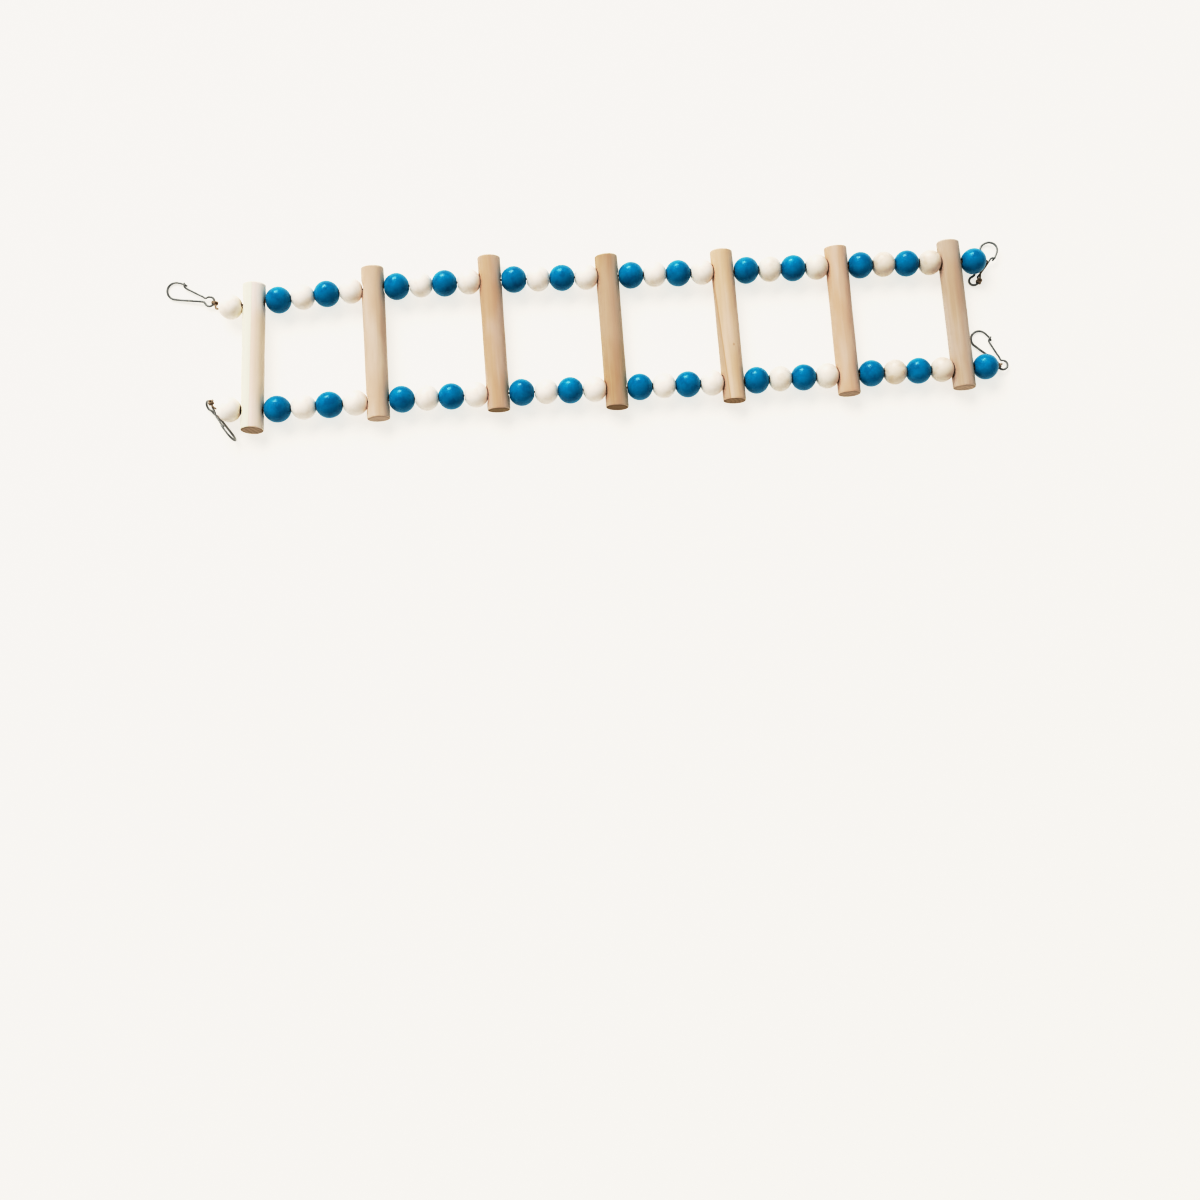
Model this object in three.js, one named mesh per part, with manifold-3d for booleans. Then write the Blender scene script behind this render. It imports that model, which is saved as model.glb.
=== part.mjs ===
// Beaded bird ladder: wooden rungs, painted wooden beads on two strings, and a wire snap hook at each corner.
// Millimetres, +X along the ladder, +Z up. It lies flat, as on a table, and each rung keeps its own small lean.
import * as THREE from 'three';
import { mergeVertices } from 'three/addons/utils/BufferGeometryUtils.js';
import Module from 'manifold-3d';

const wasm = await Module();
wasm.setup();
const { Manifold, Mesh: SolidMesh } = wasm;

// ---- driving dimensions ----
const RUNG_RADIUS = 6.9;
const RUNG_CHAMFER = 0.8;
const HOLE_THROAT = 2.6;         // radius in the middle of the rung
const HOLE_MOUTH = [5.2, 3.5];   // half length and half height at the surface of the rung on its left, where the hole is widened
const HOLE_HIGH = 0.5;           // how far the widened mouth lies above the middle of the rung
const HOLE_EDGE = 3.0;           // radius at the surface on its right, where only the edge is broken
const SUNK = [0.05, 0.85];       // how deep the first and last bead of a run sit in the rungs' holes
const GAP = 0.3;                 // between two beads
const STRING_RADIUS = 0.6;
const STRING_Z = 8.15;            // height of the strings above the table
const BLUE = { radius: 8.15, length: 14.9 };
const END_BLUE = { radius: 8, length: 14.9 };
const WHITE = { radius: 7.75, length: 13.8 };
const BEAD_BORE = 1.9;           // radius
const BEAD_RING = 2.4;           // radius of the flat edge round the bore
const WIRE_RADIUS = 0.6;         // hook wire
const EYE_RADIUS = 2.9;          // hook eye, centre line
const BOW_RADIUS = 5.25;         // hook bow, centre line
const BOW_U = 21.5;               // eye centre to bow centre
const KNOT_RADIUS = 1.1;
const KNOT_OFF = 2.1;            // knot centre to eye wire
const LOOP_RADIUS = 1.45;        // string loop round the eye wire
const SIDES = 12;                // facets round a bead

// x, y of each rung's middle, its lean in degrees, its length, and how far its upper and lower holes are from its middle
const RUNGS = [
  [-214.35, 0.3, -4.0, 90.0, 33.0, 33.0],
  [-141.2, 4.6, -1.1, 93.6, 33.6, 35.7],
  [-69.8, 6.2, -0.1, 95.2, 32.6, 37.4],
  [1.6, 2.9, 0.0, 94.8, 34.2, 35.4],
  [72.8, 2.1, 0.5, 94.2, 33.9, 35.1],
  [143.6, 1.2, 0.4, 92.8, 33.8, 34.2],
  [214.6, 0.5, 1.1, 92.8, 33.2, 34.2],
];
// direction in degrees in which each string leaves the last rung
const END_DIRECTION = { upper_left: 186, lower_left: 172, upper_right: -3, lower_right: 1 };
// how steeply it rises there, where the bead lies on a hook
const END_RISE = { upper_left: 0, lower_left: 0, upper_right: 3, lower_right: 0 };
// rung to end bead; below 0 the bead sits in the mouth of the hole
const END_GAP = { upper_left: 0.15, lower_left: -0.25, upper_right: 0, lower_right: -0.1 };
// eye centre x, y, z; heading of the bow; slope down; roll about its length; where on the eye the string holds it
const HOOKS = {
  upper_left: { eye: [-239.2, 37.6, 2.3], heading: 158, slope: 3.35, roll: 0, hold: 185 },
  lower_left: { eye: [-242.3, -26.6, 3.7], heading: -58, slope: -6.4, roll: 80, hold: 82 },
  upper_right: { eye: [229.7, 22.7, 1.6], heading: 59.5, slope: -2.2, roll: 16.5, hold: 85 },
  lower_right: { eye: [242.3, -31.7, 2.3], heading: 126.2, slope: 3.35, roll: 0, hold: 292 },
};
// middle of the whole ladder's box, moved to the origin
const SHIFT = [9.332, -2.066, -0.085];

// ---- helpers ----
const V3 = (x, y, z) => new THREE.Vector3(x, y, z);
const rad = THREE.MathUtils.degToRad;

function bare(geometry) {
  const g = geometry.clone();
  for (const name of Object.keys(g.attributes)) if (name !== 'position') g.deleteAttribute(name);
  return mergeVertices(g, 1e-4);
}

function solid(geometry) {
  const g = bare(geometry);
  return new Manifold(new SolidMesh({
    numProp: 3,
    vertProperties: new Float32Array(g.attributes.position.array),
    triVerts: new Uint32Array(g.index.array),
  }));
}

function fromSolid(s) {
  const m = s.getMesh();
  const g = new THREE.BufferGeometry();
  g.setAttribute('position', new THREE.BufferAttribute(new Float32Array(m.vertProperties), 3));
  g.setIndex(new THREE.BufferAttribute(new Uint32Array(m.triVerts), 1));
  return g;
}

// A closed round wire through the given points.
function wire(points, radius, sides = 6) {
  const pts = points.map((p) => p.clone());
  const n = pts.length;
  const tangents = pts.map((_, i) => pts[Math.min(i + 1, n - 1)].clone().sub(pts[Math.max(i - 1, 0)]).normalize());
  let normal = V3(0, 0, 1);
  if (Math.abs(tangents[0].z) > 0.9) normal = V3(0, 1, 0);
  const position = [];
  for (let i = 0; i < n; i++) {
    normal = normal.clone().sub(tangents[i].clone().multiplyScalar(normal.dot(tangents[i]))).normalize();
    const side = tangents[i].clone().cross(normal);
    for (let k = 0; k < sides; k++) {
      const a = (2 * Math.PI * (k + 0.5)) / sides;
      const p = pts[i].clone().addScaledVector(normal, radius * Math.cos(a)).addScaledVector(side, radius * Math.sin(a));
      position.push(p.x, p.y, p.z);
    }
  }
  const index = [];
  for (let i = 0; i + 1 < n; i++)
    for (let k = 0; k < sides; k++) {
      const a = i * sides + k, b = i * sides + ((k + 1) % sides), c = a + sides, d = b + sides;
      index.push(a, b, c, b, d, c);
    }
  for (let k = 1; k + 1 < sides; k++) {
    index.push(0, k + 1, k);
    const e = (n - 1) * sides;
    index.push(e, e + k, e + k + 1);
  }
  const g = new THREE.BufferGeometry();
  g.setAttribute('position', new THREE.Float32BufferAttribute(position, 3));
  g.setIndex(index);
  return g;
}

// A profile of [radius, x] turned about the X axis.
function turned(profile, sides) {
  const g = new THREE.LatheGeometry(profile.map(([r, x]) => new THREE.Vector2(r, x)), sides, Math.PI / sides);
  return g.rotateZ(-Math.PI / 2);
}

// Outline of one bead from its left ring to its right ring, centred on x.
function beadOutline({ radius, length }, x, rings = 7) {
  const t = Math.acos(BEAD_RING / radius);
  const half = length / 2 / Math.sin(t);
  return Array.from({ length: rings }, (_, i) => {
    const a = -t + (2 * t * i) / (rings - 1);
    return [radius * Math.cos(a), x + half * Math.sin(a)];
  });
}

function beadRow(kinds) {
  const total = kinds.reduce((s, k) => s + k.length, 0);
  const outline = [[BEAD_BORE, -total / 2 + 0.4]];
  let x = -total / 2;
  kinds.forEach((kind, i) => {
    const rim = beadOutline(kind, x + kind.length / 2);
    outline.push(...(i ? rim.slice(1) : rim));
    x += kind.length;
  });
  outline.push([BEAD_BORE, total / 2 - 0.4], [BEAD_BORE, -total / 2 + 0.4]);
  return turned(outline, SIDES);
}

function place(geometry, at, direction) {
  return geometry.rotateZ(direction).translate(at.x, at.y, at.z);
}

// ---- where everything lies ----
const rungAxis = ([, , lean]) => V3(-Math.sin(rad(lean)), Math.cos(rad(lean)), 0);
const hole = (rung, row) =>
  V3(rung[0], rung[1], STRING_Z).addScaledVector(rungAxis(rung), row === 'upper' ? rung[4] : -rung[5]);
// How the beads of one run fill it: how deep the outer ones sit in the rungs' holes, which is less where the run meets
// a rung at a slant, and how much longer or shorter than usual the run's beads are.
function spread(length, slants) {
  const sunk = slants.map((v, i) => SUNK[i] - 0.1 * Math.max(0, Math.abs(v) - 2));
  const scale = (length - 2 * RUNG_RADIUS + sunk[0] + sunk[1] - 2 * GAP) / (2 * (BLUE.length + WHITE.length));
  return { sunk, scale };
}
const endDirection = (corner) => V3(1, 0, 0).applyEuler(new THREE.Euler(0, -rad(END_RISE[corner]), rad(END_DIRECTION[corner]), 'ZYX'));

// ---- rungs ----
function rungGeometry(rung) {
  const r = RUNG_RADIUS, h = rung[3] / 2, c = RUNG_CHAMFER;
  const bar = new THREE.LatheGeometry(
    [[0, -h], [r - c, -h], [r, -h + c], [r, h - c], [r - c, h], [0, h]].map(([x, y]) => new THREE.Vector2(x, y)), 20, Math.PI / 20);
  let s = solid(bar);
  const m = 2.4 + ((HOLE_MOUTH[0] - 2.4) * 6.9) / (r - 1.6);
  const e = HOLE_THROAT + ((HOLE_EDGE - HOLE_THROAT) * 4.5) / (r - 4);
  const bore = turned([[0, -8.5], [HOLE_THROAT, -8.5], [HOLE_THROAT, 4], [e, 8.5], [0, 8.5]], 12);
  const mouth = turned([[0, -8.5], [m, -8.5], [2.4, -1.6], [0, -1.6]], 12)
    .scale(1, 1, HOLE_MOUTH[1] / HOLE_MOUTH[0]).translate(0, 0, HOLE_HIGH);
  const drill = fromSolid(solid(bore).add(solid(mouth)));
  for (const y of [rung[4], -rung[5]]) s = s.subtract(solid(drill.clone().translate(0, y, 0)));
  return place(fromSolid(s), V3(rung[0], rung[1], RUNG_RADIUS), rad(rung[2]));
}

// ---- hooks ----
const arc = (cx, cy, r, from, to, steps) =>
  Array.from({ length: steps + 1 }, (_, i) => {
    const a = rad(from + ((to - from) * i) / steps);
    return [cx + r * Math.cos(a), cy + r * Math.sin(a)];
  });
const FRAME_PATH = [
  ...arc(0, 0, EYE_RADIUS, 60, 318, 11),
  [3.3, -1.35], [5.2, -1.65], [10.0, -2.75], [15.2, -4.05],
  ...arc(BOW_U, 0, BOW_RADIUS, -108, 80, 12),
  [20.2, 5.4], [18.2, 5.4], [16.3, 5.0],
];
const GATE_PATH = [[3.5, 1.25], [8.2, 2.05], [12.9, 2.85], [17.6, 3.6]];

function hookFrame({ eye, heading, slope, roll }) {
  const u = V3(Math.cos(rad(heading)) * Math.cos(rad(slope)), Math.sin(rad(heading)) * Math.cos(rad(slope)), -Math.sin(rad(slope)));
  const flat = V3(Math.sin(rad(heading)), -Math.cos(rad(heading)), 0);
  const up = flat.clone().cross(u);
  const v = flat.clone().multiplyScalar(Math.cos(rad(roll))).addScaledVector(up, Math.sin(rad(roll)));
  const at = V3(...eye);
  return { u, v, w: v.clone().cross(u), point: ([a, b]) => at.clone().addScaledVector(u, a).addScaledVector(v, b) };
}

// ---- strings ----
function stringGeometry(row) {
  const path = [];
  const loops = [];
  const tail = (corner, rung, kind) => {
    const out = endDirection(corner);
    const h = hole(rung, row);
    const mouth = h.clone().addScaledVector(out, RUNG_RADIUS + END_GAP[corner] + kind.length + 0.6);
    const frame = hookFrame(HOOKS[corner]);
    const a = rad(HOOKS[corner].hold);
    const held = frame.point([EYE_RADIUS * Math.cos(a), EYE_RADIUS * Math.sin(a)]);
    const along = frame.u.clone().multiplyScalar(-Math.sin(a)).addScaledVector(frame.v, Math.cos(a)).normalize();
    const toward = mouth.clone().addScaledVector(out, 1.2).sub(held);
    toward.addScaledVector(along, -toward.dot(along)).normalize();
    const knot = held.clone().addScaledVector(toward, KNOT_OFF);
    const across = along.clone().cross(toward);
    const ring = Array.from({ length: 11 }, (_, i) => {
      const b = (2 * Math.PI * i) / 11;
      return [Math.cos(b), Math.sin(b)];
    });
    const torus = new THREE.TorusGeometry(LOOP_RADIUS, STRING_RADIUS, 6, 12);
    torus.applyMatrix4(new THREE.Matrix4().makeBasis(toward, across, along).setPosition(held));
    loops.push(torus, new THREE.SphereGeometry(KNOT_RADIUS, 9, 6).translate(knot.x, knot.y, knot.z));
    const bend = new THREE.CubicBezierCurve3(mouth, mouth.clone().addScaledVector(out, 2.6),
      knot.clone().addScaledVector(toward, 2.2), knot);
    return { h, points: bend.getPoints(6) };
  };
  const left = tail(row + '_left', RUNGS[0], WHITE);
  const right = tail(row + '_right', RUNGS[6], END_BLUE);
  path.push(...left.points.reverse());
  RUNGS.forEach((rung, i) => {
    const h = hole(rung, row);
    const before = i ? hole(RUNGS[i - 1], row) : left.points[left.points.length - 1];
    const after = i < 6 ? hole(RUNGS[i + 1], row) : right.points[0];
    path.push(h.clone().lerp(before, 3 / h.distanceTo(before)));
    path.push(h.clone().lerp(after, 3 / h.distanceTo(after)));
  });
  path.push(...right.points);
  let s = solid(wire(path, STRING_RADIUS, 6));
  for (const g of loops) s = s.add(solid(g));
  return fromSolid(s);
}

// ---- materials ----
const finish = (color, roughness, metalness = 0) => new THREE.MeshStandardMaterial({ color, roughness, metalness });
const WOOD = () => finish(0xd9bf9f, 0.6);
const BLUE_PAINT = () => finish(0x0072b5, 0.35);
const WHITE_PAINT = () => finish(0xefeae4, 0.4);
const MIXED_PAINT = () => finish(0x86b4d2, 0.38);
const STEEL = () => finish(0x8a8680, 0.35, 1);
const CORD = () => finish(0x7a5f48, 0.85);

// ---- the ladder ----
const ladder = new THREE.Group();
ladder.name = 'beaded_bird_ladder';
function add(name, geometry, material) {
  const g = bare(geometry);
  g.translate(SHIFT[0], SHIFT[1], SHIFT[2]);
  g.computeVertexNormals();
  const mesh = new THREE.Mesh(g, material);
  mesh.name = name;
  ladder.add(mesh);
}

RUNGS.forEach((rung, i) => add(`rung_${i + 1}`, rungGeometry(rung), WOOD()));

for (const row of ['upper', 'lower']) {
  add(`${row}_string`, stringGeometry(row), CORD());
  for (let bay = 1; bay <= 6; bay++) {
    const a = hole(RUNGS[bay - 1], row), b = hole(RUNGS[bay], row);
    const along = b.clone().sub(a);
    const length = along.length();
    const direction = Math.atan2(along.y, along.x);
    along.normalize();
    const { sunk, scale } = spread(length, [bay - 1, bay].map((i) => THREE.MathUtils.radToDeg(direction) - RUNGS[i][2]));
    let x = RUNG_RADIUS - sunk[0];
    const blue = { ...BLUE, length: BLUE.length * scale }, white = { ...WHITE, length: WHITE.length * scale };
    const set = (name, kinds, material) => {
      const size = kinds.reduce((s, k) => s + k.length, 0);
      add(name, place(beadRow(kinds), a.clone().addScaledVector(along, x + size / 2), direction), material);
      x += size + GAP;
    };
    set(`${row}_bay_${bay}_bead_1_blue`, [blue], BLUE_PAINT());
    set(`${row}_bay_${bay}_beads_2_3_white_blue`, [white, blue], MIXED_PAINT());
    set(`${row}_bay_${bay}_bead_4_white`, [white], WHITE_PAINT());
  }
  for (const [side, rung, kind, colour, material] of [['left', RUNGS[0], WHITE, 'white', WHITE_PAINT()], ['right', RUNGS[6], END_BLUE, 'blue', BLUE_PAINT()]]) {
    const corner = `${row}_${side}`;
    const at = hole(rung, row).addScaledVector(endDirection(corner), RUNG_RADIUS + END_GAP[corner] + kind.length / 2);
    add(`${corner}_end_bead_${colour}`, place(beadRow([kind]).rotateY(-rad(END_RISE[corner])), at, rad(END_DIRECTION[corner])), material);
    const frame = hookFrame(HOOKS[corner]);
    add(`${corner}_hook`, wire(FRAME_PATH.map(frame.point), WIRE_RADIUS), STEEL());
    add(`${corner}_hook_gate`, wire(GATE_PATH.map(frame.point), WIRE_RADIUS), STEEL());
  }
}

export default ladder;
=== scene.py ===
"""Beaded bird ladder: wooden rungs, painted wooden beads on two strings, and a wire snap hook at each corner."""
import math

import bpy
import numpy as np
from mathutils import Matrix, Vector


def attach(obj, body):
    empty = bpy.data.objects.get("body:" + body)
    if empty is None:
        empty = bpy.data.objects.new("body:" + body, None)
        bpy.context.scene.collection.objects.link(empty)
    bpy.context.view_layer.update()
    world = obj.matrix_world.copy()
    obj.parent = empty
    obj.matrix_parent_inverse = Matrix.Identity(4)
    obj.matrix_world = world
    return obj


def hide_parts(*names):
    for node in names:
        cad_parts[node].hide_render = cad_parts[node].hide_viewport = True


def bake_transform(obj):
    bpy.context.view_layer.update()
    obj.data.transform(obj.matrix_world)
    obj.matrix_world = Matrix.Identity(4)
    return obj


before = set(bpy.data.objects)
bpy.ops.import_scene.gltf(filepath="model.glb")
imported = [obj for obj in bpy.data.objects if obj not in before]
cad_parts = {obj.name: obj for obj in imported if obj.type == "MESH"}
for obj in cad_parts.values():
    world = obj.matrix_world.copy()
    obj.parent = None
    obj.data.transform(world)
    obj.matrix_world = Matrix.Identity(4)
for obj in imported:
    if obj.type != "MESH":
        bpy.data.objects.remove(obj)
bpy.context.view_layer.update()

# ---- the ladder's own dimensions, in millimetres ----
RUNG_RADIUS = 6.9
RUNG_EDGE = 1.1            # rounding of a rung's ends
HOLE_THROAT = 2.6
HOLE_MOUTH = (5.2, 3.5)    # half length and half height of the widened mouth on the left of a rung
HOLE_HIGH = 0.5            # how far that mouth lies above the middle of the rung
HOLE_EDGE = 3.0            # the broken edge on its right
SUNK = (0.05, 0.85)        # how deep the first and last bead of a run sit in the holes
GAP = 0.28                 # between two beads that lean on each other
MIDDLE_GAP = 0.04          # between the two beads in the middle of a run
STRING_RADIUS = 0.6
STRING_Z = 8.15
BLUE = (8.15, 14.9)
END_BLUE = (8.0, 14.9)
WHITE = (7.75, 13.8)
BEAD_BORE = 1.9
BEAD_RING = 2.4
WIRE_RADIUS = 0.6
EYE_RADIUS = 2.9
BOW_RADIUS = 5.25
BOW_U = 21.5
KNOT_OFF = 2.1
# x, y of each rung's middle, its lean, its length, and how far its upper and lower holes are from its middle
RUNGS = [
    (-214.35, 0.3, -4.0, 90.0, 33.0, 33.0),
    (-141.2, 4.6, -1.1, 93.6, 33.6, 35.7),
    (-69.8, 6.2, -0.1, 95.2, 32.6, 37.4),
    (1.6, 2.9, 0.0, 94.8, 34.2, 35.4),
    (72.8, 2.1, 0.5, 94.2, 33.9, 35.1),
    (143.6, 1.2, 0.4, 92.8, 33.8, 34.2),
    (214.6, 0.5, 1.1, 92.8, 33.2, 34.2),
]
# how far each rung's sawn ends are from square: the upper end across and up, then the lower end
SLANTS = [
    (0.0, 0.02, 0.01, -0.12),
    (0.02, -0.02, -0.02, -0.02),
    (-0.05, 0.01, 0.01, 0.02),
    (0.02, -0.01, 0.07, -0.03),
    (-0.06, 0.02, 0.07, -0.02),
    (-0.02, -0.06, 0.03, -0.02),
    (-0.08, 0.01, 0.06, -0.02),
]
END_DIRECTION = {"upper_left": 186, "lower_left": 172, "upper_right": -3, "lower_right": 1}
END_RISE = {"upper_left": 0, "lower_left": 0, "upper_right": 3, "lower_right": 0}
END_GAP = {"upper_left": 0.15, "lower_left": -0.25, "upper_right": 0.0, "lower_right": -0.1}
HOOKS = {
    "upper_left": dict(eye=(-239.2, 37.6, 2.3), heading=158, slope=3.35, roll=0, hold=185),
    "lower_left": dict(eye=(-242.3, -26.6, 3.7), heading=-58, slope=-6.4, roll=80, hold=82, twist=45),
    "upper_right": dict(eye=(229.7, 22.7, 1.6), heading=59.5, slope=-2.2, roll=16.5, hold=85),
    "lower_right": dict(eye=(242.3, -31.7, 2.3), heading=126.2, slope=3.35, roll=0, hold=292),
}
SHIFT = np.array([9.332, -2.066, -0.085])
# where the string of this corner runs down beside its end bead, on its way to the hook
VIA = {"upper_right": [(237.1, 31.3, 7.5), (235.7, 29.2, 5.8), (233.7, 27.1, 4.5)]}


# ---- small helpers ----
def vec(*v):
    return np.array(v, float)


def unit(v):
    return v / np.linalg.norm(v)


def lin(code):
    """A colour such as D9BF9F as linear RGBA."""
    out = []
    for i in (0, 2, 4):
        c = int(code[i:i + 2], 16) / 255
        out.append(c / 12.92 if c <= 0.04045 else ((c + 0.055) / 1.055) ** 2.4)
    return (*out, 1.0)


def row(p):
    """A point of the ladder in millimetres as a point of the frame in metres."""
    return Vector(((np.asarray(p, float) + SHIFT) * 0.001).tolist())


def placed(at, turn=0.0, spin=0.0, tilt=(0.0, 0.0), rise=0.0):
    """Where a piece with its own axes sits: turned about Z, tilted a little, spun about its own X."""
    m = Matrix.Translation(row(at)) @ Matrix.Rotation(turn, 4, "Z") @ Matrix.Rotation(-rise, 4, "Y")
    m = m @ Matrix.Rotation(tilt[0], 4, "Y") @ Matrix.Rotation(tilt[1], 4, "Z")
    return m @ Matrix.Rotation(spin, 4, "X")


def make(name, verts, faces, material, matrix=None, in_row=False):
    """A smooth mesh from millimetres. in_row: the points are the ladder's own, and not the piece's."""
    v = np.asarray(verts, float)
    if in_row:
        v = v + SHIFT
    me = bpy.data.meshes.new(name)
    me.from_pydata((v * 0.001).tolist(), [], faces)
    me.polygons.foreach_set("use_smooth", [True] * len(me.polygons))
    me.materials.append(material)
    me.update()
    ob = bpy.data.objects.new(name, me)
    bpy.context.scene.collection.objects.link(ob)
    if matrix is not None:
        ob.matrix_world = matrix
    return ob


# ---- paths and tubes ----
def spline(points, step):
    """A smooth curve through the points, in even steps."""
    p = np.asarray(points, float)
    ext = np.vstack([2 * p[0] - p[1], p, 2 * p[-1] - p[-2]])
    out = []
    for i in range(1, len(ext) - 2):
        p0, p1, p2, p3 = ext[i - 1], ext[i], ext[i + 1], ext[i + 2]
        t0 = 0.0
        t1 = t0 + math.sqrt(max(np.linalg.norm(p1 - p0), 1e-6))
        t2 = t1 + math.sqrt(max(np.linalg.norm(p2 - p1), 1e-6))
        t3 = t2 + math.sqrt(max(np.linalg.norm(p3 - p2), 1e-6))
        for t in np.linspace(t1, t2, 24, endpoint=False):
            a1 = (t1 - t) / (t1 - t0) * p0 + (t - t0) / (t1 - t0) * p1
            a2 = (t2 - t) / (t2 - t1) * p1 + (t - t1) / (t2 - t1) * p2
            a3 = (t3 - t) / (t3 - t2) * p2 + (t - t2) / (t3 - t2) * p3
            b1 = (t2 - t) / (t2 - t0) * a1 + (t - t0) / (t2 - t0) * a2
            b2 = (t3 - t) / (t3 - t1) * a2 + (t - t1) / (t3 - t1) * a3
            out.append((t2 - t) / (t2 - t1) * b1 + (t - t1) / (t2 - t1) * b2)
    out.append(p[-1])
    return even(np.array(out), step)


def even(p, step):
    """The same path with points an even step apart."""
    d = np.r_[0, np.cumsum(np.linalg.norm(np.diff(p, axis=0), axis=1))]
    n = max(2, int(round(d[-1] / step)) + 1)
    s = np.linspace(0, d[-1], n)
    return np.stack([np.interp(s, d, p[:, i]) for i in range(3)], axis=1)


def frames(p, first=None):
    """Tangents and two normals along a path, carried along without twist."""
    t = np.gradient(p, axis=0)
    t /= np.linalg.norm(t, axis=1)[:, None]
    n = vec(0, 0, 1) if first is None else np.asarray(first, float)
    if abs(np.dot(n, t[0])) > 0.9:
        n = vec(0, 1, 0) if abs(t[0][1]) < 0.9 else vec(1, 0, 0)
    ns = []
    for q in t:
        n = unit(n - q * np.dot(n, q))
        ns.append(n)
    ns = np.array(ns)
    return t, ns, np.cross(t, ns)


def tube(p, radius, sides=12, caps=True, first=None):
    """Points and faces of a round closed tube along a path. radius is one number or one for each point."""
    p = np.asarray(p, float)
    t, n, b = frames(p, first)
    r = np.full(len(p), float(radius)) if np.isscalar(radius) else np.asarray(radius, float)
    if caps:  # rounded ends
        steps = np.radians([72, 50, 26])
        head = [(p[0] - t[0] * r[0] * 0.55 * math.sin(a), r[0] * math.cos(a)) for a in steps]
        tail = [(p[-1] + t[-1] * r[-1] * 0.55 * math.sin(a), r[-1] * math.cos(a)) for a in steps[::-1]]
        p = np.vstack([[q for q, _ in head], p, [q for q, _ in tail]])
        r = np.r_[[q for _, q in head], r, [q for _, q in tail]]
        t = np.vstack([[t[0]] * 3, t, [t[-1]] * 3])
        n = np.vstack([[n[0]] * 3, n, [n[-1]] * 3])
        b = np.vstack([[b[0]] * 3, b, [b[-1]] * 3])
    a = np.linspace(0, 2 * math.pi, sides, endpoint=False)
    rings = p[:, None, :] + r[:, None, None] * (np.cos(a)[None, :, None] * n[:, None, :] + np.sin(a)[None, :, None] * b[:, None, :])
    v = rings.reshape(-1, 3)
    m = len(p)
    f = []
    for i in range(m - 1):
        for k in range(sides):
            q = (k + 1) % sides
            f.append((i * sides + k, i * sides + q, (i + 1) * sides + q, (i + 1) * sides + k))
    tip = r[0] * 0.55 * (1 - math.sin(math.radians(72))) if caps else 0.0
    v = np.vstack([v, p[0] - t[0] * tip, p[-1] + t[-1] * tip])
    for k in range(sides):
        q = (k + 1) % sides
        f.append((m * sides, q, k))
        f.append((m * sides + 1, (m - 1) * sides + k, (m - 1) * sides + q))
    return v, f


def join(*parts):
    v, f, n = [], [], 0
    for pv, pf in parts:
        v.append(pv)
        f += [tuple(i + n for i in face) for face in pf]
        n += len(pv)
    return np.vstack(v), f


def cord(p, radius=STRING_RADIUS, phase=0.0, lay=3.4, sides=7, strands=3, fray=False):
    """A laid cord of three strands along a path."""
    p = np.asarray(p, float)
    t, n, b = frames(p)
    s = np.r_[0, np.cumsum(np.linalg.norm(np.diff(p, axis=0), axis=1))]
    out = []
    for k in range(strands):
        a = phase + 2 * math.pi * (s / lay + k / strands)
        off = np.full(len(p), radius * 0.5)
        r = np.full(len(p), radius * 0.52)
        if fray:  # the cut end opens out and thins
            e = np.clip((s - s[-1] + 1.4) / 1.4, 0, 1) ** 2
            off = off + e * radius * 0.75
            r = r * (1 - 0.35 * e)
        q = p + off[:, None] * (np.cos(a)[:, None] * n + np.sin(a)[:, None] * b)
        out.append(tube(q, r, sides))
    return join(*out)


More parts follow.
